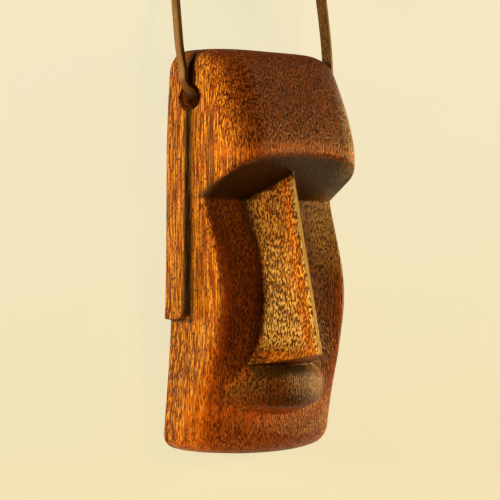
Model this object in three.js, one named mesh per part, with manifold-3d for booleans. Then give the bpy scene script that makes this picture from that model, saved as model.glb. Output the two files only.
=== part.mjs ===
// A small carved wooden pendant: the head of a moai, the stone figures of Easter Island, with a
// leather lace threaded through a hole that runs from ear to ear. It lies on its flat back.
// Millimetres. +Z is the way the face looks, +Y runs from foot to crown, +X to the viewer's right.
// The origin is the middle of the flat back, on the surface that the pendant lies on.
import * as THREE from 'three';
import { mergeVertices } from 'three/addons/utils/BufferGeometryUtils.js';
import Module from 'manifold-3d';

// ---- Heights up the head, along Y ----
const HEAD_LENGTH = 59.1;
const CROWN_Y = HEAD_LENGTH / 2;
const FOOT_DOME = 1.1; // how far the foot swells below its corners
const FOOT_CORNER_Y = FOOT_DOME - HEAD_LENGTH / 2;
const FOOT_FADE_Y = -24; // where the swell of the foot begins
const BROW_Y = 14.3; // lower edge of the forehead block
const EYE_Y = 7.7; // where the cut under the brow meets the cheeks
const CHEEK_Y = -6.6; // fullest part of the cheeks
const NOSE_TIP_Y = -14.7;
const NOSTRIL_Y = -16.5; // lower corners of the nose
const MOUTH_Y = -19.8;
const EAR_END_Y = -9.8;

// ---- Depths from the flat back, along Z ----
const BROW_DEPTH = 15;
const CROWN_DEPTH = 9.7;
const EYE_DEPTH = 7.5;
const NOSE_ROOT_DEPTH = 13; // the ridge, level with the eyes
const NOSE_TIP_DEPTH = 17.9;
const LIP_DEPTH = 12.9;
const LIP_CORNER_DEPTH = 8.7;
const EAR_DEPTH = 4.5;
const END_MIDDLE = 4.4; // the point that the crown and the foot are closed around

// ---- Carving ----
const FOREHEAD_BEND = 1.45; // how the forehead curves back to the crown: 1 would be straight
const BROW_ARCH = 0.9; // how far the brow's edge falls from the middle to its ends
const BROW_ARCH_HALF = 10.5;
const BROW_CORNER_WIDE = 6.4; // the block's upright front corners, rounded this far across
const BROW_CORNER_DEEP = 5; // and this far back
const CORNER_POWER = 2.3; // 2 would be a plain ellipse
const RIDGE_HALF = 0.3;
const NOSE_UNDERCUT = 3.6; // depth lost for each mm below the tip
const NOSTRIL_UNDERCUT = 0.17; // and more of it for each mm out from the middle
const LIP_HALF = 10.2;
const LIP_LOW = -22.8; // lower edge of the lips, in the middle
const LIP_CORNER_RISE = 1.2;
const LIP_TOP = -17.4;
const LIP_TOP_FALL = 2; // how far the upper edge drops to the corners of the mouth
const LIP_WALL = 3; // depth lost for each mm below the lips
const LIP_SLOPE = 0.7; // depth lost for each mm above them
const LIP_END = 1; // depth lost for each mm past their corners
const EAR_LOBE = 1.7; // the ear's lower front corner is rounded

// ---- Cord hole and lace ----
const HOLE_Y = 22.4;
const HOLE_Z = 4.7;
const HOLE_RADIUS = 1.6;
const HOLE_FLARE = 1.3; // how much wider the drill is where it leaves the wood
const LACE_WIDTH = 1.5;
const LACE_THICKNESS = 0.95;
const TUBE_DIAMETER = 1.3; // the flat lace as a round tube
const COIL_Y = 52;
const COIL_LAYERS = 2; // one for each strand
const COIL_TURNS = 6; // side by side in each layer
const COIL_MIDDLE_RADIUS = 8.5;
const TURN_GAP = 0.1;

/** A smooth curve through a few [place, value] pairs, which turns only at a pair. */
function through(pairs) {
  const last = pairs.length - 1;
  const rise = pairs.slice(1).map(([x, v], i) => (v - pairs[i][1]) / (x - pairs[i][0]));
  const slope = pairs.map((_, i) => {
    if (i === 0) return rise[0];
    if (i === last) return rise[last - 1];
    const [before, after] = [rise[i - 1], rise[i]];
    return before * after > 0 ? (2 * before * after) / (before + after) : 0;
  });
  return (x) => {
    let i = 0;
    while (i < last - 1 && x > pairs[i + 1][0]) i += 1;
    const [x0, v0] = pairs[i];
    const [x1, v1] = pairs[i + 1];
    const h = x1 - x0;
    const t = Math.min(1, Math.max(0, (x - x0) / h));
    const s = 1 - t;
    const ends = v0 * s * s * (1 + 2 * t) + v1 * t * t * (3 - 2 * t);
    return ends + h * t * s * (slope[i] * s - slope[i + 1] * t);
  };
}

const halfWidth = through([
  [FOOT_CORNER_Y, 14.95], [-10.6, 13.4], [CHEEK_Y, 13.25], [BROW_Y, 13.5], [CROWN_Y, 12.9],
]);
const earProud = through([[EAR_END_Y, 1.3], [10, 0.8], [26, 0.55], [CROWN_Y, 0.1]]);
const cheekEdge = through([
  [FOOT_CORNER_Y, 5.7], [-21.4, 7.3], [-14.2, 9.6], [CHEEK_Y, 11], [EYE_Y, EYE_DEPTH],
]);
const middleDepth = through([[FOOT_CORNER_Y, 9.4], [NOSTRIL_Y, 9.8], [CHEEK_Y, 9.4], [EYE_Y, EYE_DEPTH]]);
const noseHalf = through([
  [NOSTRIL_Y, 6.8], [-11.6, 4.1], [-4.6, 3.4], [0.5, 3.3], [3.2, 4], [EYE_Y, 5.2],
]);
const bridgeFlare = through([[-1.6, 0.3], [6, 0.7], [8.2, 0.3]]);
const edgeRadius = through([[FOOT_CORNER_Y, 2.6], [MOUTH_Y, 1.5], [CHEEK_Y, 1.2], [EYE_Y, 0.8]]);
const cornerWidth = through([
  [FOOT_CORNER_Y, 4], [CHEEK_Y, 2], [EYE_Y, 3], [10, BROW_CORNER_WIDE], [CROWN_Y, BROW_CORNER_WIDE],
]);

const clamp = (v, low, high) => Math.min(high, Math.max(low, v));

/** How far an edge that is rounded over `reach` mm, up to the end at `end`, is drawn in at y. */
function drawnIn(y, end, reach, depth) {
  const t = clamp(1 - Math.abs(end - y) / reach, 0, 1);
  return depth * (1 - Math.sqrt(1 - t * t));
}
const sideInset = (y) => drawnIn(y, CROWN_Y, 3.2, 3) + drawnIn(y, FOOT_CORNER_Y, 2.2, 1.9);
const frontShare = (y) => 1 - drawnIn(y, CROWN_Y, 2.2, 0.23) - drawnIn(y, FOOT_CORNER_Y, 2.4, 0.24);
const backInset = (y) => drawnIn(y, CROWN_Y, 1.2, 1) + drawnIn(y, FOOT_CORNER_Y, 1.2, 0.9);

/** The lower of two depths, with the edge between them rounded over `blend` mm. */
function softMin(a, b, blend) {
  const near = clamp(0.5 + (b - a) / (2 * blend), 0, 1);
  return b + (a - b) * near - blend * near * (1 - near);
}
const softMax = (a, b, blend) => -softMin(-a, -b, blend);

/** A front at depth `top` whose corner at half-width w is rounded. */
function rounded(x, w, radius, top) {
  const over = clamp(x - (w - radius), 0, radius);
  return top - radius + Math.sqrt(radius * radius - over * over);
}

/** The plain block that the face is cut into, with its upright corners rounded. */
function blockDepth(x, y, w) {
  const t = clamp((y - BROW_Y) / (CROWN_Y - BROW_Y), 0, 1);
  const over = clamp((x - w + BROW_CORNER_WIDE) / BROW_CORNER_WIDE, 0, 1);
  const turned = 1 - (1 - over ** CORNER_POWER) ** (1 / CORNER_POWER);
  return BROW_DEPTH - (BROW_DEPTH - CROWN_DEPTH) * t ** FOREHEAD_BEND - BROW_CORNER_DEEP * turned;
}

/** The sloping cut under the forehead, whose upper edge is a low arch. */
function underBrow(x, y) {
  const arch = BROW_Y - BROW_ARCH * Math.min(x / BROW_ARCH_HALF, 1) ** 2;
  return EYE_DEPTH + ((BROW_DEPTH - EYE_DEPTH) * (y - EYE_Y)) / (arch - EYE_Y);
}

/** The cut under the brow, and the cheeks and chin below it. */
function faceDepth(x, y, w) {
  const middle = middleDepth(y);
  const cheek = middle + (cheekEdge(y) - middle) * (x / w) ** 2;
  return softMax(underBrow(x, y), cheek, 0.25);
}

const RIDGE_RISE = (NOSE_TIP_DEPTH - NOSE_ROOT_DEPTH) / (EYE_Y - NOSE_TIP_Y);
const ridgeDepth = (y) => NOSE_ROOT_DEPTH + RIDGE_RISE * (EYE_Y - y);

/** How steeply the sides of the nose fall away from its ridge. */
function noseSlope(y) {
  const level = clamp(y, NOSTRIL_Y, EYE_Y);
  return (ridgeDepth(level) - middleDepth(level)) / (noseHalf(level) - RIDGE_HALF);
}

function noseDepth(x, y) {
  const side = ridgeDepth(y) - noseSlope(y) * Math.max(0, x - RIDGE_HALF);
  const under = NOSE_TIP_DEPTH - (NOSE_UNDERCUT + NOSTRIL_UNDERCUT * x) * (NOSE_TIP_Y - y);
  return softMin(side, under, 0.3);
}

/** One lens-shaped block for both lips. */
function lipDepth(x, y) {
  const across = (x / LIP_HALF) ** 2;
  const top = LIP_DEPTH - (LIP_DEPTH - LIP_CORNER_DEPTH) * across - 0.06 * (y - MOUTH_Y) ** 2;
  const below = softMax(LIP_LOW + LIP_CORNER_RISE * across - y, 0, 0.5);
  const above = softMax(y - LIP_TOP + LIP_TOP_FALL * across, 0, 0.8);
  return top - LIP_WALL * below - LIP_SLOPE * above - LIP_END * Math.max(0, x - LIP_HALF);
}

/** Depth of the carved front at half-width x (the head is the same on both sides). */
function frontDepth(x, y, w) {
  const cut = rounded(x, w, edgeRadius(y), faceDepth(x, y, w));
  const face = softMin(blockDepth(x, y, w), cut, 0.35 + 0.5 * clamp((y - EYE_Y) / 4, 0, 1));
  const withNose = softMax(face, noseDepth(x, y), bridgeFlare(y));
  const lipBlend = 0.25 + 0.75 * clamp((y - MOUTH_Y) / 2 + 0.8, 0, 1);
  return softMax(withNose, lipDepth(x, y), lipBlend) * frontShare(y);
}

/** Half-width at which the nose stands up out of the face. */
function noseFoot(y) {
  const rise = ridgeDepth(y) - (y > EYE_Y ? underBrow(0, y) : middleDepth(y));
  const foot = RIDGE_HALF + rise / noseSlope(y);
  if (y > EYE_Y) return clamp(foot, 0.7, 3) + Math.max(0, y - 11.5) * 0.5;
  return y > NOSTRIL_Y ? foot : 6;
}

/** Half of the section at height y, from the middle of the back to the middle of the front. */
function halfSection(y) {
  const w = halfWidth(y) - sideInset(y);
  const back = backInset(y);
  const ear = y > EAR_END_Y ? earProud(y) : 0;
  const out = w + ear;
  const edge = 0.8;
  const points = [[0, back], [out / 2, back], [out - edge, back], [out - edge * 0.3, back + edge * 0.3]];
  const wallTop = frontDepth(w, y, w);
  const earFront = Math.min(EAR_DEPTH, wallTop - 0.6);
  const earSteps = 3;
  for (let i = 0; i <= earSteps; i += 1) {
    points.push([out, back + edge + ((earFront - 0.15 - back - edge) * i) / earSteps]);
  }
  points.push([w, earFront + 0.15], [w, (earFront + 0.15 + wallTop) / 2]);
  const corner = cornerWidth(y);
  const cornerSteps = 7;
  for (let i = 0; i <= cornerSteps; i += 1) {
    const x = w - corner * (1 - Math.cos((i / cornerSteps) * (Math.PI / 2)));
    points.push([x, frontDepth(x, y, w)]);
  }
  const foot = noseFoot(y);
  const cheekSteps = 6;
  for (let i = 1; i <= cheekSteps; i += 1) {
    const x = w - corner + ((foot - w + corner) * i) / cheekSteps;
    points.push([x, frontDepth(x, y, w)]);
  }
  const noseSteps = 4;
  for (let i = 1; i <= noseSteps; i += 1) {
    const x = foot + ((RIDGE_HALF - foot) * i) / noseSteps;
    points.push([x, frontDepth(x, y, w)]);
  }
  points.push([0, frontDepth(0, y, w)]);
  return points;
}

/** Heights of the sections: crowded where the carving turns. */
function sectionHeights() {
  const spans = [
    [FOOT_CORNER_Y + 0.02, FOOT_CORNER_Y + 1.6, 4], [FOOT_CORNER_Y + 1.6, LIP_LOW - 1.1, 2],
    [LIP_LOW - 1.1, LIP_LOW + LIP_CORNER_RISE, 6], [LIP_LOW + LIP_CORNER_RISE, NOSTRIL_Y, 6],
    [NOSTRIL_Y, NOSE_TIP_Y, 5], [NOSE_TIP_Y, EAR_END_Y, 4], [EAR_END_Y, EAR_END_Y + 0.15, 1],
    [EAR_END_Y + 0.15, EYE_Y, 10], [EYE_Y, BROW_Y - BROW_ARCH, 5],
    [BROW_Y - BROW_ARCH, BROW_Y + 0.6, 3], [BROW_Y + 0.6, CROWN_Y - 3.2, 5],
    [CROWN_Y - 3.2, CROWN_Y - 0.02, 6],
  ];
  const heights = [spans[0][0]];
  for (const [from, to, steps] of spans) {
    for (let i = 1; i <= steps; i += 1) heights.push(from + ((to - from) * i) / steps);
  }
  return heights;
}

/** The rounded corner of the ear's lower end: the rows near it rise towards its front edge. */
function lobeRise(x, y, z) {
  if (x < 12 || z > EAR_DEPTH + 3) return 0;
  const near = Math.exp(-(((y - EAR_END_Y) / 2.5) ** 2));
  const over = clamp((z - EAR_DEPTH + EAR_LOBE) / EAR_LOBE, 0, 1);
  return EAR_LOBE * 0.6 * near * over ** 2 * clamp((EAR_DEPTH + 3 - z) / 3, 0, 1);
}

/** The foot swells downwards, most of all in the middle of the front. */
function footDrop(x, y, z) {
  const near = clamp((FOOT_FADE_Y - y) / (FOOT_FADE_Y - FOOT_CORNER_Y), 0, 1) ** 2;
  return FOOT_DOME * near * clamp(z / 7, 0, 1) * (1 - 0.4 * clamp(x / 14, -1, 1) ** 2);
}

/** Rings of points joined into one closed skin, each end closed by a fan to a middle point. */
function skin(rings, firstMiddle, lastMiddle) {
  const count = rings[0].length;
  const positions = [...rings.flat(), firstMiddle, lastMiddle].flat();
  const first = rings.length * count;
  const index = [];
  for (let i = 0; i < count; i += 1) {
    const j = (i + 1) % count;
    for (let r = 0; r < rings.length - 1; r += 1) {
      const [a, b] = [r * count + i, r * count + j];
      const [c, d] = [a + count, b + count];
      index.push(a, d, b, a, c, d);
    }
    const end = (rings.length - 1) * count;
    index.push(first, i, j, first + 1, end + j, end + i);
  }
  const geometry = new THREE.BufferGeometry();
  geometry.setAttribute('position', new THREE.Float32BufferAttribute(positions, 3));
  geometry.setIndex(index);
  return geometry;
}

function headBlank() {
  const rings = sectionHeights().map((y) => {
    const half = halfSection(y).map(([x, z]) => [x, y + lobeRise(x, y, z) - footDrop(x, y, z), z]);
    const other = half.slice(1, -1).reverse().map(([x, yy, z]) => [-x, yy, z]);
    return [...half, ...other];
  });
  const halfway = rings[0].map(([x, , z]) => {
    const middle = (z + END_MIDDLE) / 2;
    return [x / 2, FOOT_CORNER_Y - footDrop(x / 2, FOOT_CORNER_Y, middle), middle];
  });
  const footMiddle = FOOT_CORNER_Y - footDrop(0, FOOT_CORNER_Y, END_MIDDLE);
  return skin([halfway, ...rings], [0, footMiddle, END_MIDDLE], [0, CROWN_Y, END_MIDDLE]);
}

/** The drill for the cord hole: a straight bore that opens a little at both ears. */
function holeDrill() {
  const reach = 17;
  const mouth = 12.6;
  const profile = [
    [0, -reach], [HOLE_RADIUS + HOLE_FLARE, -reach], [HOLE_RADIUS, -mouth],
    [HOLE_RADIUS, mouth], [HOLE_RADIUS + HOLE_FLARE, reach], [0, reach],
  ].map(([r, along]) => new THREE.Vector2(r, along));
  const drill = new THREE.LatheGeometry(profile, 20);
  drill.rotateZ(Math.PI / 2);
  drill.translate(0, HOLE_Y, HOLE_Z);
  return drill;
}

const wasm = await Module();
wasm.setup();

function toSolid(geometry) {
  const bare = geometry.clone();
  bare.deleteAttribute('normal');
  bare.deleteAttribute('uv');
  const merged = mergeVertices(bare, 1e-4);
  return new wasm.Manifold(new wasm.Mesh({
    numProp: 3,
    vertProperties: new Float32Array(merged.attributes.position.array),
    triVerts: new Uint32Array(merged.index.array),
  }));
}

function toGeometry(solid) {
  const mesh = solid.getMesh();
  const geometry = new THREE.BufferGeometry();
  geometry.setAttribute('position', new THREE.Float32BufferAttribute(mesh.vertProperties, 3));
  geometry.setIndex(Array.from(mesh.triVerts));
  return geometry;
}

// ---- Lace ----

/** The left strand: from the middle of the hole out of the ear, past the crown and down to the coil. */
const LEFT_ROUTE = [
  [-0.2, 22.9, 4.7], [-4, 22.9, 4.7], [-8, 22.9, 4.7], [-11.4, 22.9, 4.75], [-13.5, 23.2, 4.8],
  [-14.8, 24.4, 4.85], [-15, 26.1, 4.85], [-14.95, 29.5, 4], [-14.8, 33, 3.4], [-14.6, 36.5, 2.8],
  [-14, 38.9, 1.9], [-12.6, 40.6, 1.2], [-10.6, 41.3, 0.85], [-8.4, 41.2, 0.8],
];
/** The right strand, which bows out a little more and comes to lie on the coil's upper layer. */
const RIGHT_ROUTE = [
  [0.2, 22.9, 4.7], [4, 22.9, 4.7], [8, 22.9, 4.7], [11.4, 22.9, 4.75], [13.7, 23.2, 4.8],
  [15.2, 24.5, 4.8], [15.7, 27, 4.6], [15.9, 31.4, 4.1], [15.9, 35.1, 3.6], [15.9, 38.8, 3],
  [15.6, 41.6, 2.75], [14.9, 44.6, 2.55], [13.9, 47.6, 2.4], [13, 50.2, 2.4],
];

function laceTube(route) {
  const path = new THREE.CatmullRomCurve3(route.map((p) => new THREE.Vector3(...p)), false, 'centripetal');
  const sides = 8;
  const section = new THREE.Shape();
  for (let i = 0; i < sides; i += 1) {
    const angle = ((i + 0.5) / sides) * 2 * Math.PI;
    const [u, v] = [Math.cos(angle), Math.sin(angle)].map((n) => (n * TUBE_DIAMETER) / 2);
    if (i === 0) section.moveTo(u, v);
    else section.lineTo(u, v);
  }
  section.closePath();
  const steps = Math.ceil(path.getLength() / (1.6 * TUBE_DIAMETER));
  const settings = { steps, extrudePath: path, curveSegments: 1, bevelEnabled: false };
  return new THREE.ExtrudeGeometry(section, settings);
}

/** The outer shape of the wound lace: a low ring with rounded edges. */
function coilRing() {
  const half = (COIL_TURNS * (LACE_THICKNESS + TURN_GAP)) / 2;
  const [inner, outer] = [COIL_MIDDLE_RADIUS - half, COIL_MIDDLE_RADIUS + half];
  const top = COIL_LAYERS * (LACE_WIDTH + TURN_GAP);
  const cut = 0.35;
  const profile = [
    [inner + cut, 0], [outer - cut, 0], [outer, cut], [outer, top - cut],
    [outer - cut, top], [inner + cut, top], [inner, top - cut], [inner, cut], [inner + cut, 0],
  ].map(([r, z]) => new THREE.Vector2(r, z));
  const ring = new THREE.LatheGeometry(profile, 32);
  ring.rotateX(Math.PI / 2);
  ring.translate(0, COIL_Y, 0);
  return ring;
}

/** The overhand knot that joins the two ends, in the middle of the coil. */
function laceKnot() {
  const knot = new THREE.SphereGeometry(1, 16, 10);
  knot.scale(3.6, 3.2, 2);
  knot.translate(0, COIL_Y, 2.05);
  return knot;
}

const wood = new THREE.MeshStandardMaterial({ color: 0x7a3714, roughness: 0.4, metalness: 0 });
const leather = new THREE.MeshStandardMaterial({ color: 0x6b3d1c, roughness: 0.75, metalness: 0 });

function piece(name, geometry, material) {
  const mesh = new THREE.Mesh(geometry, material);
  mesh.name = name;
  return mesh;
}

const pendant = new THREE.Group();
pendant.add(piece('moai_head', toGeometry(toSolid(headBlank()).subtract(toSolid(holeDrill()))), wood));
pendant.add(piece('lace_left', laceTube(LEFT_ROUTE), leather));
pendant.add(piece('lace_right', laceTube(RIGHT_ROUTE), leather));
pendant.add(piece('lace_coil', coilRing(), leather));
pendant.add(piece('lace_knot', laceKnot(), leather));

export default pendant;
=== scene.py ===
"""A carved wooden moai head pendant on a leather lace, lying on its flat back."""
import math

import bmesh
import bpy
import numpy as np
from mathutils import Matrix, Vector


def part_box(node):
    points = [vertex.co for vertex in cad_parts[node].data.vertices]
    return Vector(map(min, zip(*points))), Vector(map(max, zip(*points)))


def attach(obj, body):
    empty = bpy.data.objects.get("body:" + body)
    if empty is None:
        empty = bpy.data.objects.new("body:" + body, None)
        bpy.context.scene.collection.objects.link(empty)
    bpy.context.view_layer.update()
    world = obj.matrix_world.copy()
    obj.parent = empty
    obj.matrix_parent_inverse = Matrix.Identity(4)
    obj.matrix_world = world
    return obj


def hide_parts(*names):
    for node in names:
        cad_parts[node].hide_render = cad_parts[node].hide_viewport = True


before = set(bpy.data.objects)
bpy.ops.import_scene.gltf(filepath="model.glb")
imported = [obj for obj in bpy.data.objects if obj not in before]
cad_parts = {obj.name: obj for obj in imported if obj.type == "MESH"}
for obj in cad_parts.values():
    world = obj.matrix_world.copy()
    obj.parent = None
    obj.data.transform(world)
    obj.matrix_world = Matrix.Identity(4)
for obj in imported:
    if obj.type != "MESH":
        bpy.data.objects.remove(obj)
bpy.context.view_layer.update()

# ---- The head ----
# One piece of open-grained reddish wood, its grain running from foot to crown. The face and the
# long flat ears are carved from the same block with knives and gouges, and a drill is put through
# it from ear to ear. Then it is oiled: the hollows are dark with oil and painted shade, and the
# edges carry painted highlights.
MM = 0.001
head_low, head_high = (Vector(corner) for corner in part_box("moai_head"))
# heights up the head, in mm
CROWN_Y, FOOT_Y = head_high.y / MM, head_low.y / MM
FOOT_DOME = 1.1  # how far the foot swells below its corners
FOOT_CORNER_Y = FOOT_Y + FOOT_DOME
FOOT_FADE_Y = -24  # above this the foot doesn't swell
BROW_Y, EYE_Y, CHEEK_Y = 14.3, 7.7, -6.6
NOSE_TIP_Y, NOSTRIL_Y, MOUTH_Y = -14.7, -16.5, -19.8
EAR_END_Y = -9.8
# depths from the flat back, in mm
BROW_DEPTH, CROWN_DEPTH, EYE_DEPTH = 15.0, 9.7, 7.5
NOSE_ROOT_DEPTH, NOSE_TIP_DEPTH = 13.0, 17.9
LIP_DEPTH, LIP_CORNER_DEPTH = 12.9, 8.7
EAR_DEPTH = 4.5
END_MIDDLE = 4.4  # where the rings that close the crown and the foot come together
# the carving: widths and heights in mm, and depths lost for each mm
FOREHEAD_BEND = 1.45  # 1 would be a straight slope from brow to crown
BROW_ARCH, BROW_ARCH_HALF = 0.9, 10.5
BROW_CORNER_WIDE, BROW_CORNER_DEEP, CORNER_POWER = 6.4, 5.0, 2.3
RIDGE_HALF = 0.3
NOSE_UNDERCUT, NOSTRIL_UNDERCUT = 3.6, 0.17
LIP_HALF, LIP_LOW, LIP_CORNER_RISE = 10.2, -22.8, 1.2
LIP_TOP, LIP_TOP_FALL, LIP_CROWN = -17.4, 2.0, 0.06
LIP_WALL, LIP_SLOPE, LIP_END = 3.0, 0.7, 1.0
EAR_LOBE, EAR_STEP = 1.7, 0.28
BACK_EDGE = 0.8  # the flat back's rounded edge
HOLE_Y, HOLE_Z, HOLE_RADIUS, HOLE_FLARE = 22.4, 4.7, 1.6, 1.3
HOLE_STRAIGHT, DRILL_REACH = 12.6, 17
# how fine the surface is: rings up the head, and points round each of them
RINGS, END_RINGS = 336, 7
BACK_POINTS, EDGE_POINTS, WALL_POINTS = 9, 7, 46
CORNER_POINTS, CHEEK_POINTS, NOSE_POINTS = 23, 27, 24
END_GAP = 0.02  # between the last ring and the corner of the crown or the foot, in mm


def through(*pairs):
    """A smooth curve through a few (place, value) pairs, which turns only at a pair."""
    x, v = (np.array(column, float) for column in zip(*pairs))
    rise = np.diff(v) / np.diff(x)
    slope = np.concatenate(([rise[0]], np.zeros(len(x) - 2), [rise[-1]]))
    for i in range(1, len(x) - 1):
        if rise[i - 1] * rise[i] > 0:
            slope[i] = 2 * rise[i - 1] * rise[i] / (rise[i - 1] + rise[i])

    def curve(at):
        at = np.clip(np.asarray(at, float), x[0], x[-1])
        i = np.clip(np.searchsorted(x, at, side="right") - 1, 0, len(x) - 2)
        h = x[i + 1] - x[i]
        t = (at - x[i]) / h
        s = 1 - t
        ends = v[i] * s * s * (1 + 2 * t) + v[i + 1] * t * t * (3 - 2 * t)
        return ends + h * t * s * (slope[i] * s - slope[i + 1] * t)

    return curve


half_width = through(
    (FOOT_CORNER_Y, 14.95), (-10.6, 13.4), (CHEEK_Y, 13.25), (BROW_Y, 13.5), (CROWN_Y, 12.9))
ear_proud = through((EAR_END_Y, 1.3), (10, 0.8), (26, 0.55), (CROWN_Y, 0.1))
cheek_edge = through((FOOT_CORNER_Y, 5.7), (-21.4, 7.3), (-14.2, 9.6), (CHEEK_Y, 11.0), (EYE_Y, EYE_DEPTH))
middle_depth = through((FOOT_CORNER_Y, 9.4), (NOSTRIL_Y, 9.8), (CHEEK_Y, 9.4), (EYE_Y, EYE_DEPTH))
nose_half = through((NOSTRIL_Y, 6.8), (-11.6, 4.1), (-4.6, 3.4), (0.5, 3.3), (3.2, 4.0), (EYE_Y, 5.2))
bridge_flare = through((-1.6, 0.3), (6.0, 0.7), (8.2, 0.3))
edge_radius = through((FOOT_CORNER_Y, 2.6), (MOUTH_Y, 1.5), (CHEEK_Y, 1.2), (EYE_Y, 0.8))
corner_width = through(
    (FOOT_CORNER_Y, 4), (CHEEK_Y, 2), (EYE_Y, 3), (10, BROW_CORNER_WIDE), (CROWN_Y, BROW_CORNER_WIDE))


def climb(value, low, high):
    """0 up to `low`, 1 from `high` on, and a straight slope between them."""
    return np.clip((value - low) / (high - low), 0, 1)


def soft_min(a, b, blend):
    """The lower of two depths, with the edge between them rounded over `blend` mm."""
    share = climb(b - a, -blend, blend)
    return b + (a - b) * share - blend * share * (1 - share)


def soft_max(a, b, blend):
    """The higher of two depths, with the crease between them filled over `blend` mm."""
    return -soft_min(-a, -b, blend)


def drawn_in(y, end, reach, depth):
    """How far an edge that is rounded over `reach` mm, up to the end at `end`, is drawn in at y."""
    t = np.clip(1 - abs(end - y) / reach, 0, 1)
    return depth * (1 - np.sqrt(1 - t * t))


def side_inset(y):
    return drawn_in(y, CROWN_Y, reach=3.2, depth=3.0) + drawn_in(y, FOOT_CORNER_Y, reach=2.2, depth=1.9)


def front_share(y):
    """The share of its depth that the front keeps where the crown and the foot are rounded."""
    crown_loss = drawn_in(y, CROWN_Y, reach=2.2, depth=0.23)
    return 1 - crown_loss - drawn_in(y, FOOT_CORNER_Y, reach=2.4, depth=0.24)


def back_inset(y):
    return drawn_in(y, CROWN_Y, reach=1.2, depth=1.0) + drawn_in(y, FOOT_CORNER_Y, reach=1.2, depth=0.9)


def rounded(x, w, radius, top):
    """A front at depth `top` whose corner at half-width w is rounded."""
    over = np.clip(x - (w - radius), 0, radius)
    return top - radius + np.sqrt(radius * radius - over * over)


def block_depth(x, y, w):
    """The plain block that the face is cut into, with its upright corners rounded."""
    back_slope = climb(y, BROW_Y, CROWN_Y) ** FOREHEAD_BEND
    over = climb(x, w - BROW_CORNER_WIDE, w)
    turned = 1 - (1 - over**CORNER_POWER) ** (1 / CORNER_POWER)
    return BROW_DEPTH - (BROW_DEPTH - CROWN_DEPTH) * back_slope - BROW_CORNER_DEEP * turned


def brow_edge(x):
    """Height of the forehead's lower edge, a low arch."""
    return BROW_Y - BROW_ARCH * np.minimum(x / BROW_ARCH_HALF, 1) ** 2


def under_brow(x, y):
    """The sloping cut from the forehead's lower edge back to the eyes."""
    return EYE_DEPTH + (BROW_DEPTH - EYE_DEPTH) * (y - EYE_Y) / (brow_edge(x) - EYE_Y)


def cheek_depth(x, y, w):
    middle = middle_depth(y)
    return middle + (cheek_edge(y) - middle) * (x / w) ** 2


def ridge_depth(y):
    return NOSE_ROOT_DEPTH + (NOSE_TIP_DEPTH - NOSE_ROOT_DEPTH) * (EYE_Y - y) / (EYE_Y - NOSE_TIP_Y)


def nose_slope(y):
    """How steeply the sides of the nose fall away from its ridge."""
    level = np.clip(y, NOSTRIL_Y, EYE_Y)
    return (ridge_depth(level) - middle_depth(level)) / (nose_half(level) - RIDGE_HALF)


def nose_depth(x, y):
    side = ridge_depth(y) - nose_slope(y) * np.maximum(0, x - RIDGE_HALF)
    under = NOSE_TIP_DEPTH - (NOSE_UNDERCUT + NOSTRIL_UNDERCUT * x) * (NOSE_TIP_Y - y)
    return soft_min(side, under, 0.3)


def lip_edge(x):
    """Height of the lips' lower edge, which rises to the corners of the mouth."""
    return LIP_LOW + LIP_CORNER_RISE * (x / LIP_HALF) ** 2


def lip_depth(x, y):
    """One lens-shaped block for both lips."""
    across = (x / LIP_HALF) ** 2
    top = LIP_DEPTH - (LIP_DEPTH - LIP_CORNER_DEPTH) * across - LIP_CROWN * (y - MOUTH_Y) ** 2
    below = soft_max(lip_edge(x) - y, 0, 0.5)
    above = soft_max(y - LIP_TOP + LIP_TOP_FALL * across, 0, 0.8)
    return top - LIP_WALL * below - LIP_SLOPE * above - LIP_END * np.maximum(0, x - LIP_HALF)


def front_depth(x, y, w):
    """Depth of the carved front at half-width x (the head is the same on both sides)."""
    face = soft_max(under_brow(x, y), cheek_depth(x, y, w), 0.25)
    cut = rounded(x, w, edge_radius(np.clip(y, FOOT_CORNER_Y, EYE_Y)), face)
    depth = soft_min(block_depth(x, y, w), cut, 0.35 + 0.5 * climb(y, EYE_Y, EYE_Y + 4))
    depth = soft_max(depth, nose_depth(x, y), bridge_flare(y))
    lip_blend = 0.25 + 0.75 * climb(y, MOUTH_Y - 1.6, MOUTH_Y + 0.4)
    return soft_max(depth, lip_depth(x, y), lip_blend) * front_share(y)


def nose_foot(y):
    """Half-width at which the nose stands up out of the face."""
    rise = ridge_depth(y) - np.where(y > EYE_Y, under_brow(0, y), middle_depth(y))
    foot = RIDGE_HALF + rise / nose_slope(y)
    above = np.clip(foot, 0.7, 3) + np.maximum(0, y - 11.5) * 0.5
    return np.where(y > EYE_Y, above, np.where(y > NOSTRIL_Y, foot, 6.0))


def crowded(low, high, count, *places):
    """Numbers from low to high that crowd together near the (place, reach, weight) triples."""
    fine = np.linspace(low, high, 4000)
    density = np.ones_like(fine)
    for place, reach, weight in places:
        density += weight * np.exp(-(((fine - place) / reach) ** 2))
    total = np.concatenate(([0], np.cumsum((density[1:] + density[:-1]) / 2)))
    return np.interp(np.linspace(0, total[-1], count), total, fine)


def quarter_turn(count):
    return np.linspace(0, math.pi / 2, count)[None, 1:-1]


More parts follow.
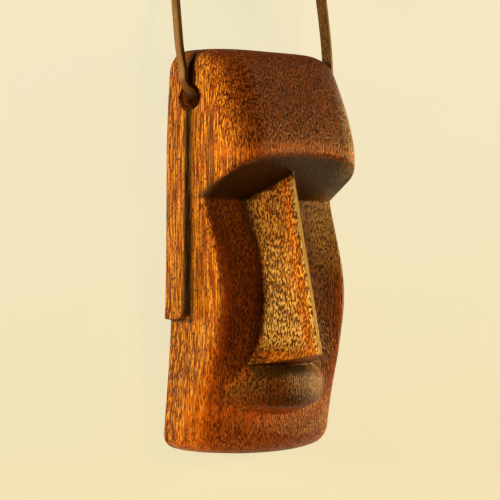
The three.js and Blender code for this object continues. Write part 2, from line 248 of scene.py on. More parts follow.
def side_wall(y, w):
    """x and z up the side of each ring, with the ear on its lower part."""
    back, wall_top = back_inset(y), front_depth(w, y, w)
    ear_front = np.minimum(EAR_DEPTH, wall_top - 0.6)
    ear_share = 0.45  # of the wall's points lie on the ear
    share = crowded(0, 1, WALL_POINTS, (ear_share, 0.05, 2.0))[None, :]
    wall_z = back + BACK_EDGE + (ear_front - back - BACK_EDGE) * np.minimum(share / ear_share, 1)
    wall_z = wall_z + (wall_top - ear_front) * climb(share, ear_share, 1)
    front_gap, end_gap = ear_front - wall_z, y - EAR_END_Y + 0 * wall_z
    lobe = EAR_LOBE - np.hypot(np.maximum(EAR_LOBE - front_gap, 0), np.maximum(EAR_LOBE - end_gap, 0))
    inside = np.clip(np.minimum(np.minimum(front_gap, end_gap), lobe) / EAR_STEP + 0.5, 0, 1)
    return w + ear_proud(np.clip(y, EAR_END_Y, CROWN_Y)) * inside * inside * (3 - 2 * inside), wall_z


def front_places(y, w):
    """Half-widths across the front of each ring, from its corner to the ridge of the nose."""
    corner = corner_width(y)
    foot = np.minimum(nose_foot(y), 0.6 * (w - corner))
    corner_x = w - corner * (1 - np.cos(np.linspace(0, math.pi / 2, CORNER_POINTS)[None, 1:]))
    cheek_x = (w - corner) + (foot - w + corner) * np.linspace(0, 1, CHEEK_POINTS)[None, 1:]
    nose_x = foot + (RIDGE_HALF - foot) * np.linspace(0, 1, NOSE_POINTS)[None, 1:]
    ridge_x = RIDGE_HALF * np.array([[0.5, 0.0]]) + 0 * y
    return np.concatenate((corner_x, cheek_x, nose_x, ridge_x), axis=1)


def head_rings():
    """The head's outline at a few hundred heights: x and z of each ring's points, and its height."""
    stations = crowded(
        FOOT_CORNER_Y + END_GAP, CROWN_Y - END_GAP, RINGS,
        (FOOT_CORNER_Y, 0.8, 1.5), (CROWN_Y, 1.0, 1.5), (LIP_LOW + 0.3, 1.0, 1.2),
        (NOSTRIL_Y + 0.6, 1.6, 1.6), (EAR_END_Y, 0.6, 2.0), (EYE_Y, 0.6, 1.2), (BROW_Y, 0.7, 1.2),
    )
    y = stations[:, None]
    w = half_width(y) - side_inset(y)
    back = back_inset(y)
    wall_x, wall_z = side_wall(y, w)
    inner = wall_x[:, :1] - BACK_EDGE
    edge_x = inner + BACK_EDGE * np.sin(quarter_turn(EDGE_POINTS))
    edge_z = back + BACK_EDGE - BACK_EDGE * np.cos(quarter_turn(EDGE_POINTS))
    flat_x = inner * np.linspace(0, 1, BACK_POINTS)[None, :]
    front_x = front_places(y, w)
    half_x = np.concatenate((flat_x, edge_x, wall_x, front_x), axis=1)
    half_z = np.concatenate((back + 0 * flat_x, edge_z, wall_z, front_depth(front_x, y, w)), axis=1)
    ring_x = np.concatenate((half_x, -half_x[:, -2:0:-1]), axis=1)
    ring_z = np.concatenate((half_z, half_z[:, -2:0:-1]), axis=1)
    return ring_x, ring_z, y


def with_ends(ring_x, ring_z, y, count):
    """The rings with more at each end, which shrink towards the middle of the section."""
    inward = np.linspace(1, 0, count + 2)[1:-1, None]

    def shrunk(row, shares):
        return ring_x[row] * shares, END_MIDDLE + (ring_z[row] - END_MIDDLE) * shares

    (foot_x, foot_z), (crown_x, crown_z) = shrunk(0, inward[::-1]), shrunk(-1, inward)
    levels = np.concatenate((np.full((count, 1), FOOT_CORNER_Y), y, np.full((count, 1), CROWN_Y)))
    return np.concatenate((foot_x, ring_x, crown_x)), np.concatenate((foot_z, ring_z, crown_z)), levels


def foot_drop(x, y, z):
    """The foot swells downwards, most of all in the middle of the front."""
    swell = climb(FOOT_FADE_Y - y, 0, FOOT_FADE_Y - FOOT_CORNER_Y) ** 2
    return FOOT_DOME * swell * climb(z, 0, 7) * (1 - 0.4 * np.clip(x / 14, -1, 1) ** 2)


def head_skin():
    """The head's closed surface, in metres, before the cord hole is drilled."""
    ring_x, ring_z, levels = with_ends(*head_rings(), END_RINGS)
    ring_y = levels - foot_drop(ring_x, levels, ring_z)
    rows, columns = ring_x.shape
    points = np.stack((ring_x, ring_y, ring_z), axis=-1).reshape(-1, 3)
    foot_middle = FOOT_CORNER_Y - foot_drop(0, FOOT_CORNER_Y, END_MIDDLE)
    points = np.concatenate((points, [[0, foot_middle, END_MIDDLE], [0, CROWN_Y, END_MIDDLE]]))
    strip = np.arange(rows - 1)[:, None] * columns
    here, there = np.arange(columns), (np.arange(columns) + 1) % columns
    corners = (strip + here, strip + columns + here, strip + columns + there, strip + there)
    faces = np.stack(corners, axis=-1).reshape(-1, 4).tolist()
    first, last, top = rows * columns, rows * columns + 1, (rows - 1) * columns
    faces += [(first, c, d) for c, d in zip(here.tolist(), there.tolist())]
    faces += [(last, top + d, top + c) for c, d in zip(here.tolist(), there.tolist())]
    return (points * MM).tolist(), faces


def mesh_object(name, vertices, faces):
    """A smooth-shaded piece from points in metres."""
    mesh = bpy.data.meshes.new(name)
    mesh.from_pydata(vertices, [], faces)
    mesh.validate()
    mesh.shade_smooth()
    made = bpy.data.objects.new(name, mesh)
    bpy.context.scene.collection.objects.link(made)
    return made


def drill(radius, flare, straight, reach, place):
    """A bore along X that opens a little towards both ends."""
    cutter = bmesh.new()
    profile = [(-reach, radius + flare), (-straight, radius), (straight, radius), (reach, radius + flare)]
    around = 48
    rings = [
        [cutter.verts.new((x, place[0] + r * math.cos(a), place[1] + r * math.sin(a)))
         for a in np.linspace(0, 2 * math.pi, around, endpoint=False)]
        for x, r in profile
    ]
    for ring, following in zip(rings, rings[1:]):
        for i in range(around):
            j = (i + 1) % around
            cutter.faces.new((ring[i], ring[j], following[j], following[i]))
    cutter.faces.new(rings[0][::-1])
    cutter.faces.new(rings[-1])
    bmesh.ops.recalc_face_normals(cutter, faces=cutter.faces)
    mesh = bpy.data.meshes.new("drill")
    cutter.to_mesh(mesh)
    cutter.free()
    made = bpy.data.objects.new("drill", mesh)
    bpy.context.scene.collection.objects.link(made)
    return made


def cut_away(body, tool):
    """Cut the tool's shape out of the body, and throw the tool away."""
    cut = body.modifiers.new("cut", "BOOLEAN")
    cut.operation, cut.object, cut.solver = "DIFFERENCE", tool, "EXACT"
    bpy.context.view_layer.update()
    evaluated = body.evaluated_get(bpy.context.evaluated_depsgraph_get())
    mesh = bpy.data.meshes.new_from_object(evaluated)
    body.modifiers.clear()
    body.data = mesh
    bpy.data.objects.remove(tool)


head = mesh_object("head", *head_skin())
cut_away(head, drill(radius=HOLE_RADIUS * MM, flare=HOLE_FLARE * MM, straight=HOLE_STRAIGHT * MM,
                     reach=DRILL_REACH * MM, place=(HOLE_Y * MM, HOLE_Z * MM)))
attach(head, "root")
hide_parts("moai_head")


def near(value, place, reach):
    """1 at the place, falling to 0 over the reach on both sides."""
    return np.clip(1 - abs(value - place) / reach, 0, 1)


def band(value, place, reach):
    """Like near, but with a rounded top and long tails."""
    return np.exp(-(((value - place) / reach) ** 2))


def mark_surface(mesh):
    """Vertex values of oil and painted shade in the hollows, and of painted light on the rest: lit bands
    and highlights.
    """
    places = np.empty(len(mesh.vertices) * 3)
    mesh.vertices.foreach_get("co", places)
    right, y, z = (places.reshape(-1, 3) / MM).T
    x = abs(right)
    w = half_width(y) - side_inset(y)
    front = front_depth(np.minimum(x, w), y, w)
    on_front = climb(z, front - 1.5, front - 0.3)
    on_side = x > w - 0.4
    level = np.clip(y, NOSTRIL_Y, EYE_Y)
    on_nose = z >= under_brow(x, y) + 0.9
    nose_side = (z > front - 0.3) * (x > 1.2) * (x < nose_half(level) - 0.2) * (y > NOSTRIL_Y)
    nose_side = nose_side * ((y < EYE_Y) | on_nose) * (y < BROW_Y - 1)
    low_edge = lip_edge(x)
    top_edge = LIP_TOP + 1.2 - (LIP_TOP_FALL + 1.2) * (x / LIP_HALF) ** 2
    lips = climb(y, low_edge - 0.2, low_edge + 0.3) * climb(top_edge - y, 0, 0.8)
    lips = lips * climb(LIP_HALF + 0.5 - x, 0, 1.5)

    # oil that has darkened in the hollows of the face, with painted shade where shade falls:
    # under the brow, under the nose, beside the nose and on the lips
    below_block = climb(block_depth(np.minimum(x, w), y, w) - z, 0, 0.8)
    socket = climb(y, EYE_Y - 0.3, EYE_Y + 0.3) * (y < BROW_Y + 0.5) * below_block
    socket = socket * climb(under_brow(x, y) + 0.9 - z, 0, 0.5)
    valley = near(x, nose_half(level) + 0.5, 2.0) * (y > NOSTRIL_Y) * (y < EYE_Y + 1)
    valley = valley * (0.55 + 0.45 * climb(y, -2, 4))
    under_nose = near(y, NOSTRIL_Y - 0.5, 1.4) * (x < 6.5)
    lower_lip = near(y, low_edge + 1.3, 1.8) * near(x, 1.0, 6.0) * lips
    hollow = socket + 0.9 * valley + under_nose + 0.65 * lips + 0.35 * lower_lip + 0.28 * nose_side
    beside_nose = 0.34 * near(x, 9.2, 4.2) * near(y, -12.5, 8.5) * (1 - nose_side)
    # and painted shadow along the ears' raised edges and under their lower ends, painted shade in the
    # hole, and a little darker all over the ears and the jaw
    beside_ear = on_side * (y > EAR_END_Y - 0.2)
    step = np.clip(1.5 * near(z, EAR_DEPTH + 0.1, 0.5), 0, 1) * beside_ear
    shade = 0.65 * near(z, EAR_DEPTH + 0.5, 0.9) * beside_ear * (z > EAR_DEPTH)
    ear_end = 0.8 * near(y, EAR_END_Y - 0.2, 0.4) * on_side * (z < EAR_DEPTH + 0.4)
    hole = 0.5 * np.clip(1.9 - np.hypot(y - HOLE_Y, z - HOLE_Z), 0, 1)
    ears_and_jaw_darker = 0.15 * on_side * np.clip((z < EAR_DEPTH) + climb(EAR_END_Y + 2 - y, 0, 4), 0, 1)
    oil = on_front * (np.clip(hollow, 0, 1) + beside_nose)
    oil = oil + np.maximum(step, shade) + ear_end + hole + ears_and_jaw_darker

    # redder on the cheeks, the jaw and the nose; the band along the brow's edge is painted light,
    # and the band below the lips is a redder tone with painted light
    brow = band(y, brow_edge(x) + 0.9, 0.95)
    below_lip = 0.6 * band(y, low_edge - 1.5, 0.9) * (x < LIP_HALF + 2)
    cheek = 0.7 * band(x, w - 1.2, 1.3) * climb(EYE_Y - 3 - y, 0, 5)
    jaw = 0.5 * climb(NOSTRIL_Y + 1 - y, 0, 6)
    stripe = 0.8 * near(x, 1.2, 0.7) * (z > ridge_depth(y) - 4) * (y > NOSE_TIP_Y - 0.3) * (y < EYE_Y + 3)
    tip = 0.8 * near(y, NOSE_TIP_Y - 0.4, 1.2) * (x < 5) * (z > ridge_depth(y) - 12)
    redder_and_lit_bands = on_front * (brow + below_lip + cheek + jaw) + stripe + tip

    # and painted highlights in gold: the nose, the lips, the right-hand edges and a line on the foot
    ridge = np.clip(1.5 - x / 0.5, 0, 1) * (z > ridge_depth(y) - 0.5)
    ridge = ridge * (y < EYE_Y + 3) * (y > NOSE_TIP_Y - 0.3)
    gleam = nose_side * (0.12 + 0.36 * climb(3 - y, 0, 13)) * climb(y, NOSE_TIP_Y, NOSE_TIP_Y + 2)
    mouth = (0.06 + 0.46 * np.clip(right, 0, 1)) * np.clip(1.7 * near(x, 6.5, 4), 0, 1)
    mouth = mouth * (top_edge > y - 0.4) * climb(y, low_edge + 0.8, low_edge + 2)
    lip_line = 0.62 * np.clip(1.6 * near(y, low_edge - 0.7, 0.8), 0, 1) * near(right, 7.5, 4.0)
    far_cheek = np.clip(1.8 * near(right, 12.2, 5) * near(y, 2.6, 7.5), 0, 0.78)
    far_brow = np.clip(1.8 * near(right, 11.3, 3.2) * near(y, 18, 8), 0, 0.78)
    far_foot = np.clip(1.6 * near(right, 12.0, 1.6) * near(y, -25, 4), 0, 0.62)
    foot_line = 0.55 * near(y, -27.05 + 0.03 * (right - 3) ** 2, 0.4) * np.clip(right - 2.5, 0, 1)
    # the painted highlights on the front
    wear_and_highlights = on_front * np.maximum.reduce((mouth, lip_line, far_cheek, far_brow, far_foot, foot_line))
    painted_highlight = np.maximum.reduce((ridge, gleam, wear_and_highlights))

    # where the grain shows as short specks, on the carved front, and not as long streaks
    face = climb(z, front - 0.6, front - 0.1) * (1 - 0.8 * climb(x, w - 4.5, w - 1))
    for name, values in (("oil_and_shade", np.clip(oil, 0, 1)), ("redder_and_lit_bands", np.clip(redder_and_lit_bands, 0, 1)),
                         ("painted_highlight", painted_highlight), ("face", face)):
        mesh.attributes.new(name, "FLOAT", "POINT").data.foreach_set("value", values)


class Value:
    """Something that varies over a surface. Arithmetic on it adds Math nodes."""

    def __init__(self, finish, socket):
        self.finish, self.socket = finish, socket

    def __add__(self, other):
        return self.finish.maths("ADD", self, other)

    def __sub__(self, other):
        return self.finish.maths("SUBTRACT", self, other)

    def __rsub__(self, other):
        return self.finish.maths("SUBTRACT", other, self)

    def __mul__(self, other):
        return self.finish.maths("MULTIPLY", self, other)

    __radd__, __rmul__ = __add__, __mul__

    def ramp(self, low, high):
        """0 at `low`, 1 at `high`, smooth between them and level beyond. Low may be the larger."""
        settings = {"interpolation_type": "SMOOTHSTEP"}
        return self.finish.node("ShaderNodeMapRange", settings, self, low, high, 0.0, 1.0)


class Finish:
    """A material that is put together from expressions."""

    def __init__(self, name, **constants):
        self.material = bpy.data.materials.new(name)
        self.material.use_nodes = True
        self.tree = self.material.node_tree
        self.surface = self.tree.nodes["Principled BSDF"]
        for socket, constant in constants.items():
            self.surface.inputs[socket.replace("_", " ")].default_value = constant

    def node(self, kind, settings, *values, output=0, **named):
        """Add any node: its settings first, then what its sockets take, in order or by name."""
        made = self.tree.nodes.new(kind)
        for name, setting in settings.items():
            setattr(made, name, setting)
        pairs = list(zip([socket for socket in made.inputs if socket.enabled], values))
        pairs += [(made.inputs[name], value) for name, value in named.items()]
        for socket, value in pairs:
            if isinstance(value, Value):
                self.tree.links.new(value.socket, socket)
            else:
                socket.default_value = value
        if isinstance(output, str):
            return Value(self, made.outputs[output])
        return Value(self, [socket for socket in made.outputs if socket.enabled][output])

    def maths(self, operation, *values):
        return self.node("ShaderNodeMath", {"operation": operation}, *values)

    def feed(self, name, value):
        self.tree.links.new(value.socket, self.surface.inputs[name])

    def blend(self, share, a, b, how="MIX"):
        """Colour a where share is 0 and colour b, or a tinted by b, where it is 1."""
        return self.node("ShaderNodeMix", {"data_type": "RGBA", "blend_type": how}, share, a, b)

    def marks(self, name):
        """The vertex values of that name."""
        return self.node("ShaderNodeAttribute", {"attribute_name": name}, output="Fac")

    def part(self, vector, axis):
        return self.node("ShaderNodeSeparateXYZ", {}, vector, output=axis)

    def place(self):
        return self.node("ShaderNodeTexCoord", {}, output="Object")

    def grain(self, across, lengthwise, detail, shift=0.0):
        """Noise whose spots are `across` mm wide and `lengthwise` mm long, up and down the head."""
        size = (1 / (across * MM), 1 / (lengthwise * MM), 1 / (across * MM))
        moved, turned = (shift, shift, shift), (0, 0, 0)
        spots = self.node("ShaderNodeMapping", {"vector_type": "POINT"}, self.place(), moved, turned, size)
        noise = self.node("ShaderNodeTexNoise", {}, spots, Scale=1.0, Detail=detail, Roughness=0.5)
        return noise.ramp(0.3, 0.7)

    def bump(self, height, depth):
        return self.node("ShaderNodeBump", {}, Strength=1.0, Distance=depth, Height=height)


# painted light: the sides in lit orange, the front in shaded brown
SIDE_LIT_ORANGE, FRONT_SHADE_BROWN = (0.54, 0.100, 0.003, 1), (0.255, 0.050, 0.005, 1)
# the red also paints lit bands, and the pale gold paints highlights
RED_TONE_AND_LIT_BAND, HIGHLIGHT_GOLD = (0.95, 0.175, 0.007, 1), (1.0, 0.64, 0.17, 1)
# the gold is a painted sheen on the fibres of the sides
RED_TINT, FIBRE_SHEEN_GOLD = (0.75, 0.42, 0.6, 1), (1.0, 0.42, 0.025, 1)
FIBRE_RED, FIBRE_BROWN = (0.66, 0.19, 0.03, 1), (0.105, 0.017, 0.002, 1)
# the oil's dark also paints shade in the hollows
PORE_BROWN, OIL_AND_SHADE_DARK = (0.028, 0.008, 0.002, 1), (0.030, 0.012, 0.003, 1)
GRAIN_DEPTH = 0.08 * MM
mark_surface(head.data)
wood = Finish("oiled_reddish_wood", Specular_Tint=(1.0, 0.62, 0.18, 1), Specular_IOR_Level=0.25)
normal = wood.node("ShaderNodeNewGeometry", {}, output="Normal")
# how far the surface faces sideways, towards the lamps; it steers the painted light and shade
side_light_share = wood.maths("ABSOLUTE", wood.part(normal, "X")).ramp(0.4, 0.95)
end_grain = wood.part(normal, "Y").ramp(0.3, 0.8)
oil_and_shade, redder_and_lit_bands, painted_highlight, face = (wood.marks(name) for name in ("oil_and_shade", "redder_and_lit_bands", "painted_highlight", "face"))
patches = wood.grain(across=3.5, lengthwise=12.0, detail=3)
bands = wood.grain(across=0.8, lengthwise=18.0, detail=2, shift=7)
mottle = wood.grain(across=1.1, lengthwise=1.8, detail=3, shift=5)
streaks = wood.grain(across=0.15, lengthwise=5.0, detail=1, shift=3)
specks = wood.grain(across=0.19, lengthwise=0.6, detail=1, shift=11)
fine = streaks + (specks - streaks) * face
# painted light and shade: lit orange on the sides, shaded brown on the front
colour = wood.blend(side_light_share, FRONT_SHADE_BROWN, SIDE_LIT_ORANGE)
colour = wood.blend(patches.ramp(0.35, 0.8) * 0.8, colour, RED_TINT, how="MULTIPLY")
# a redder tone, and painted light in the bands along the brow and below the lips
colour = wood.blend(redder_and_lit_bands * (0.55 + 0.45 * mottle), colour, RED_TONE_AND_LIT_BAND)
# light fibres: red on the front, and on the sides a painted golden sheen where the lamps catch them
fibre_and_sheen = wood.blend(side_light_share, FIBRE_RED, FIBRE_SHEEN_GOLD)
colour = wood.blend(fine.ramp(0.55, 0.85) * (0.62 + 0.13 * side_light_share), colour, fibre_and_sheen)
colour = wood.blend(bands.ramp(0.55, 1.0) * 0.4, colour, FIBRE_BROWN)
colour = wood.blend(fine.ramp(0.56, 0.16) * (0.88 - 0.35 * redder_and_lit_bands), colour, FIBRE_BROWN)
colour = wood.blend(specks.ramp(0.3, 0.1) * (0.8 - 0.4 * redder_and_lit_bands), colour, PORE_BROWN)
# oil in the hollows, darkened further with painted shade
colour = wood.blend(oil_and_shade * (0.78 + 0.2 * specks), colour, OIL_AND_SHADE_DARK)
# painted highlights in pale gold
colour = wood.blend(painted_highlight * fine.ramp(0.36, 0.62) + painted_highlight.ramp(0.8, 1.0), colour, HIGHLIGHT_GOLD)
wood.feed("Base Color", colour)
wood.feed("Roughness", 0.40 - 0.12 * specks.ramp(0.4, 0.8) + 0.5 * end_grain)
wood.feed("Normal", wood.bump(fine, GRAIN_DEPTH))
head.data.materials.clear()
head.data.materials.append(wood.material)


# ---- The lace ----
# One flat leather lace, cut from a side of brown hide: one narrow edge is smooth grain, the rest is
# bare suede. It runs through the head from ear to ear, and the length beyond the crown is wound in a
# coil of two layers, one for each strand, with both ends tied in one knot inside it.
LACE_WIDTH, LACE_THICKNESS, LACE_ROUNDING = 1.5 * MM, 0.95 * MM, 0.16 * MM
STEP = 0.35 * MM  # between the sections along the lace
TURNS, POINTS_PER_TURN = 6, 20
TURN_PITCH = LACE_THICKNESS + 0.1 * MM
ON_EDGE_FROM, ON_EDGE_BY = 0.037, 0.041  # heights between which it turns onto its edge, in metres
EAR_MOUTH_X, EAR_TWIST, EAR_TOP_Y = 0.0150, 0.003, 0.0245  # where it twists as it leaves the hole
KNOT_LEVEL, KNOT_SPREAD = 2.05 * MM, 0.48 * MM
KNOT_SIZE = np.array((0.95, 0.95, 1.0)) * MM
KNOT_OPENING, KNOT_POINTS, KNOT_SQUEEZE = 0.25, 90, 0.9
KNOT_ENTRY_LEVEL, KNOT_ENTRY_LIFT = 1.9 * MM, 0.5 * MM
KNOT_ENTRY_RADIUS, KNOT_ENTRY_SWING = 2.2 * MM, 1.9
coil_low, coil_high = (Vector(corner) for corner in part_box("lace_coil"))
coil_middle = (coil_low + coil_high) / 2
layer_height = (coil_high.z - coil_low.z) / 2
outer_radius = (coil_high.x - coil_low.x) / 2 - TURN_PITCH / 2
inner_radius = outer_radius - (TURNS - 1) * TURN_PITCH
# from inside the hole, out of the ear, past the crown and onto the coil, in metres
LEFT_ROUTE = [
    (-0.0002, 0.0229, 0.0047), (-0.004, 0.0229, 0.0047), (-0.008, 0.0229, 0.0047),
    (-0.0114, 0.0229, 0.00475), (-0.0135, 0.0232, 0.0048), (-0.0148, 0.0244, 0.00485),
    (-0.015, 0.0261, 0.00485), (-0.01495, 0.0295, 0.004), (-0.0148, 0.033, 0.0034),
    (-0.0146, 0.0365, 0.0028), (-0.014, 0.0389, 0.0019), (-0.0126, 0.0406, 0.0012),
    (-0.0106, 0.0413, 0.00085), (-0.0084, 0.0412, 0.0008),
]
RIGHT_ROUTE = [
    (0.0002, 0.0229, 0.0047), (0.004, 0.0229, 0.0047), (0.008, 0.0229, 0.0047),
    (0.0114, 0.0229, 0.00475), (0.0137, 0.0232, 0.0048), (0.0152, 0.0245, 0.0048),
    (0.0157, 0.027, 0.0046), (0.0159, 0.0314, 0.0041), (0.0159, 0.0351, 0.0036),
    (0.0159, 0.0388, 0.003), (0.0156, 0.0416, 0.00275), (0.0149, 0.0446, 0.00255),
    (0.0139, 0.0476, 0.0024), (0.013, 0.0502, 0.0024),
]


def on_circle(radius, angle, height):
    """A point round the middle of the coil."""
    return (coil_middle.x + radius * math.cos(angle), coil_middle.y + radius * math.sin(angle), height)


def wound(route, joins_at, layer, knot_side):
    """The route, its turns in one layer of the coil, and the way in to the knot."""
    points = list(route)
    level = layer_height * (layer + 0.5)
    start = math.atan2(route[-1][1] - coil_middle.y, route[-1][0] - coil_middle.x)
    arrive = start + (math.radians(joins_at) - start) % (2 * math.pi)
    steps = TURNS * POINTS_PER_TURN
    for i in range(steps + 1):
        angle = arrive + i * 2 * math.pi / POINTS_PER_TURN
        points.append(on_circle(outer_radius + (inner_radius - outer_radius) * i / steps, angle, level))
    for share in (0.25, 0.5, 0.75, 1.0):
        radius = inner_radius + (KNOT_ENTRY_RADIUS - inner_radius) * share**1.3
        height = level + (KNOT_ENTRY_LEVEL + knot_side * KNOT_ENTRY_LIFT - level) * share
        points.append(on_circle(radius, angle + share * KNOT_ENTRY_SWING, height))
    return points


def along(points, step, per_span=24):
    """Points every `step` metres on a smooth curve through the given ones."""
    points = np.array(points, float)
    padded = np.concatenate(([2 * points[0] - points[1]], points, [2 * points[-1] - points[-2]]))
    fine = []
    for before, a, b, after in zip(padded, padded[1:], padded[2:], padded[3:]):
        t = np.linspace(0, 1, per_span, endpoint=False)[:, None]
        curve = 2 * a + (b - before) * t + (2 * before - 5 * a + 4 * b - after) * t**2
        fine.append((curve + (3 * a - before - 3 * b + after) * t**3) / 2)
    fine = np.concatenate([*fine, points[-1:]])
    travelled = np.concatenate(([0], np.cumsum(np.linalg.norm(np.diff(fine, axis=0), axis=1))))
    places = np.linspace(0, travelled[-1], max(2, round(travelled[-1] / step) + 1))
    return np.stack([np.interp(places, travelled, fine[:, i]) for i in range(3)], axis=1)


def lace_section(width, per_corner=4):
    """A rectangle with rounded corners, as (across the width, through the thickness) pairs."""
    section = []
    for corner, (u, v) in enumerate(((1, 1), (-1, 1), (-1, -1), (1, -1))):
        for turn in np.linspace(0, math.pi / 2, per_corner):
            angle = turn + corner * math.pi / 2
            section.append((u * (width / 2 - LACE_ROUNDING) + LACE_ROUNDING * math.cos(angle),
                            v * (LACE_THICKNESS / 2 - LACE_ROUNDING) + LACE_ROUNDING * math.sin(angle)))
    return np.array(section)


def sweep(centres, wide, section):
    """A closed tube along the centres; `wide` gives the direction of the section's width at each."""
    ahead = np.gradient(centres, axis=0)
    ahead /= np.linalg.norm(ahead, axis=1, keepdims=True)
    thick = np.cross(ahead, wide)
    thick /= np.linalg.norm(thick, axis=1, keepdims=True)
    wide = np.cross(thick, ahead)
    around = len(section)
    rings = centres[:, None] + wide[:, None] * section[None, :, :1] + thick[:, None] * section[None, :, 1:]
    first, last = [(centres[end] + (rings[end] - centres[end]) * 0.5)[None] for end in (0, -1)]
    rings = np.concatenate((first, rings, last))
    faces = []
    for row in range(len(rings) - 1):
        for i in range(around):
            j = (i + 1) % around
            low, high = row * around, (row + 1) * around
            faces.append((low + i, low + j, high + j, high + i))
    total = len(rings) * around
    faces += [tuple(range(around))[::-1], tuple(range(total - around, total))]
    return rings.reshape(-1, 3).tolist(), faces


def show_grain_edge(mesh, section):
    """Vertex values that are 1 on the lace's one smooth edge and 0 on the suede."""
    smooth = climb(section[:, 0] / (LACE_WIDTH / 2), 0.85, 0.95)
    values = np.tile(smooth, len(mesh.vertices) // len(section))
    mesh.attributes.new("smooth_edge", "FLOAT", "POINT").data.foreach_set("value", values)


def strand(name, route, joins_at, layer, leans, knot_side):
    """One strand of the lace. Where it hangs free its width leans `leans` degrees from upright."""
    centres = along(wound(route, joins_at, layer, knot_side), STEP)
    in_coil = climb(centres[:, 1], ON_EDGE_FROM, ON_EDGE_BY)[:, None]
    in_hole = climb(EAR_MOUTH_X - abs(centres[:, 0]), 0, EAR_TWIST)[:, None]
    in_hole = in_hole * (centres[:, 1:2] < EAR_TOP_Y)
    free = np.array([[math.sin(math.radians(leans)), 0, math.cos(math.radians(leans))]])
    wide = free * (1 - in_coil) * (1 - in_hole)
    wide = wide + np.array([[0, 0, 1.0]]) * in_coil + np.array([[0, 0.5, 0.85]]) * in_hole
    section = lace_section(LACE_WIDTH)
    made = mesh_object(name, *sweep(centres, wide, section))
    show_grain_edge(made.data, section)
    length = float(np.linalg.norm(np.diff(centres, axis=0), axis=1).sum())
    return made, centres, length


def knot_rope():
    """Both ends of the lace, tied together in one overhand knot."""
    turn = np.linspace(KNOT_OPENING, 2 * math.pi - KNOT_OPENING, KNOT_POINTS)
    loop = np.stack((np.sin(turn) + 2 * np.sin(2 * turn), np.cos(turn) - 2 * np.cos(2 * turn),
                     -np.sin(3 * turn)), axis=1) * KNOT_SIZE
    vertices, faces = [], []
    section = lace_section(LACE_WIDTH * KNOT_SQUEEZE)
    for offset in (-KNOT_SPREAD, KNOT_SPREAD):
        centres = loop + np.array((coil_middle.x, coil_middle.y, KNOT_LEVEL + offset))
        upright = np.tile((0.0, 0.0, 1.0), (len(centres), 1))
        ahead = np.gradient(centres, axis=0)
        more, more_faces = sweep(centres, np.cross(ahead, upright), section)
        faces += [tuple(v + len(vertices) for v in face) for face in more_faces]
        vertices += more
    made = mesh_object("lace_knotted_ends", vertices, faces)
    show_grain_edge(made.data, section)
    return made


lace_left, left_path, left_length = strand(
    "lace_left_strand", LEFT_ROUTE, joins_at=275, layer=0, leans=-62, knot_side=-1)
lace_right, right_path, right_length = strand(
    "lace_right_strand", RIGHT_ROUTE, joins_at=30, layer=1, leans=20, knot_side=1)
knot = knot_rope()
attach(knot, "root")
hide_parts("lace_knot")
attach(lace_left, "root")
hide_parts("lace_left")
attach(lace_right, "root")
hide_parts("lace_right", "lace_coil")

# dark brown suede with a short nap that catches the light, and one waxed edge
SUEDE_DARK, SUEDE_WORN = (0.060, 0.021, 0.005, 1), (0.115, 0.042, 0.009, 1)
NAP_LIGHT, NAP_DARK = (0.26, 0.12, 0.03, 1), (0.03, 0.010, 0.004, 1)
WAXED_DARK, WAXED_WORN = (0.19, 0.068, 0.013, 1), (0.27, 0.108, 0.024, 1)
WAXED_SPECK = (0.07, 0.022, 0.005, 1)
NAP_DEPTH = 0.05 * MM
leather = Finish("brown_leather", Specular_Tint=(1.0, 0.8, 0.5, 1))
smooth_edge = leather.marks("smooth_edge")
nap = leather.grain(across=0.16, lengthwise=0.3, detail=2)
wear_and_highlights = leather.grain(across=1.2, lengthwise=5.0, detail=2, shift=5)
suede = leather.blend(wear_and_highlights, SUEDE_DARK, SUEDE_WORN)
suede = leather.blend(nap.ramp(0.55, 0.9) * 0.6, suede, NAP_LIGHT)
suede = leather.blend(nap.ramp(0.35, 0.1) * 0.7, suede, NAP_DARK)
waxed = leather.blend(wear_and_highlights, WAXED_DARK, WAXED_WORN)
waxed = leather.blend(nap.ramp(0.4, 0.15) * 0.5, waxed, WAXED_SPECK)
leather.feed("Base Color", leather.blend(smooth_edge, suede, waxed))
leather.feed("Roughness", 0.85 - 0.35 * smooth_edge)
leather.feed("Normal", leather.bump(nap * (1 - 0.8 * smooth_edge), NAP_DEPTH))
for piece in (lace_left, lace_right, knot):
    piece.data.materials.append(leather.material)


# ---- Floor and light ----
# A pale sheet that glows softly, so the pendant throws hardly any shadow on it. A small low lamp
# shines on the near ear, a larger one on the far cheek, and two weak ones from above and from the foot.
SHEET = 3  # half of its side, in metres
PAPER = (0.42, 0.39, 0.28, 1)
GLOW_FOOT, GLOW_CROWN, GLOW = (0.88, 0.81, 0.52, 1), (0.90, 0.86, 0.62, 1), 0.82
sheet_corners = [(-SHEET, -SHEET, 0), (SHEET, -SHEET, 0), (SHEET, SHEET, 0), (-SHEET, SHEET, 0)]
floor = mesh_object("floor", sheet_corners, [(0, 1, 2, 3)])
paper = Finish(
    "pale_paper", Roughness=1.0, Base_Color=PAPER, Specular_IOR_Level=0.0, Emission_Strength=GLOW)
up_the_sheet = paper.part(paper.place(), "Y").ramp(-0.05, 0.03)
paper.feed("Emission Color", paper.blend(up_the_sheet, GLOW_FOOT, GLOW_CROWN))
floor.data.materials.append(paper.material)
LAMP_DISTANCE = 0.6
head_middle = (head_low + head_high) / 2


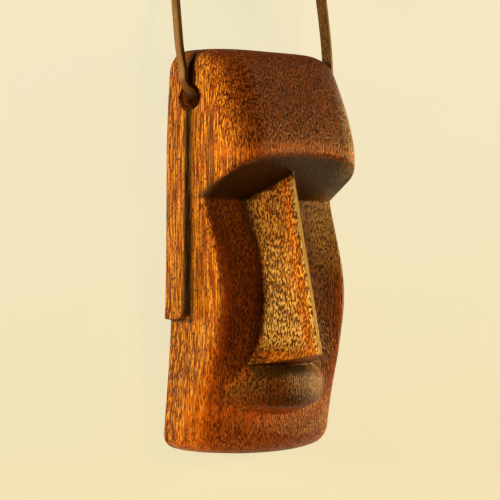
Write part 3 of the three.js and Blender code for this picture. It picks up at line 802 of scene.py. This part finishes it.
def lamp(name, direction, size, watts, colour):
    """A square lamp that faces the pendant from a direction."""
    light = bpy.data.objects.new(name, bpy.data.lights.new(name, "AREA"))
    light.data.size = size
    light.data.energy = watts
    light.data.color = colour
    direction = Vector(direction).normalized()
    light.location = head_middle + direction * LAMP_DISTANCE
    light.rotation_mode = "QUATERNION"
    light.rotation_quaternion = direction.to_track_quat("Z", "Y")
    bpy.context.scene.collection.objects.link(light)


lamp("near_lamp", (-1.0, 0.12, 0.08), size=0.08, watts=3.3, colour=(1.0, 0.88, 0.55))
lamp("far_lamp", (0.99, 0.03, 0.14), size=0.2, watts=2.0, colour=(1.0, 0.60, 0.2))
lamp("high_lamp", (0.52, 0.2, 0.83), size=0.12, watts=0.4, colour=(1.0, 0.55, 0.15))
lamp("low_lamp", (0.3, -0.8, 0.45), size=0.3, watts=0.75, colour=(1.0, 0.58, 0.18))
room = bpy.data.worlds.new("room")
room.use_nodes = True
room.node_tree.nodes["Background"].inputs["Color"].default_value = (1.0, 0.75, 0.42, 1)
room.node_tree.nodes["Background"].inputs["Strength"].default_value = 0.08
bpy.context.scene.world = room
bpy.context.scene.view_settings.view_transform = "Standard"

# ---- Camera ----
# It looks down at 45 degrees on the left side of the pendant, as seen by someone who faces it, with
# the crown upwards and the coil of lace just out of view above it.
VIEW_ANGLE = math.radians(45)
VIEW_DISTANCE, VIEW_WIDTH = 340 * MM, 75 * MM
AIM_UP, AIM_RIGHT = 0.3 * MM, 2.4 * MM
SENSOR = 36
towards_camera = Vector((-math.sin(VIEW_ANGLE), 0, math.cos(VIEW_ANGLE)))
to_the_right = Vector((math.cos(VIEW_ANGLE), 0, math.sin(VIEW_ANGLE)))
aim = Vector((head_middle.x, head_middle.y + AIM_UP, 0)) + to_the_right * AIM_RIGHT
camera = bpy.data.objects.new("camera", bpy.data.cameras.new("camera"))
camera.data.sensor_width = SENSOR
camera.data.lens = SENSOR * VIEW_DISTANCE / VIEW_WIDTH
camera.data.clip_start = 0.01
axes = Matrix((to_the_right, Vector((0, 1, 0)), towards_camera)).transposed()
camera.matrix_world = Matrix.Translation(aim + towards_camera * VIEW_DISTANCE) @ axes.to_4x4()
bpy.context.scene.collection.objects.link(camera)
bpy.context.scene.camera = camera
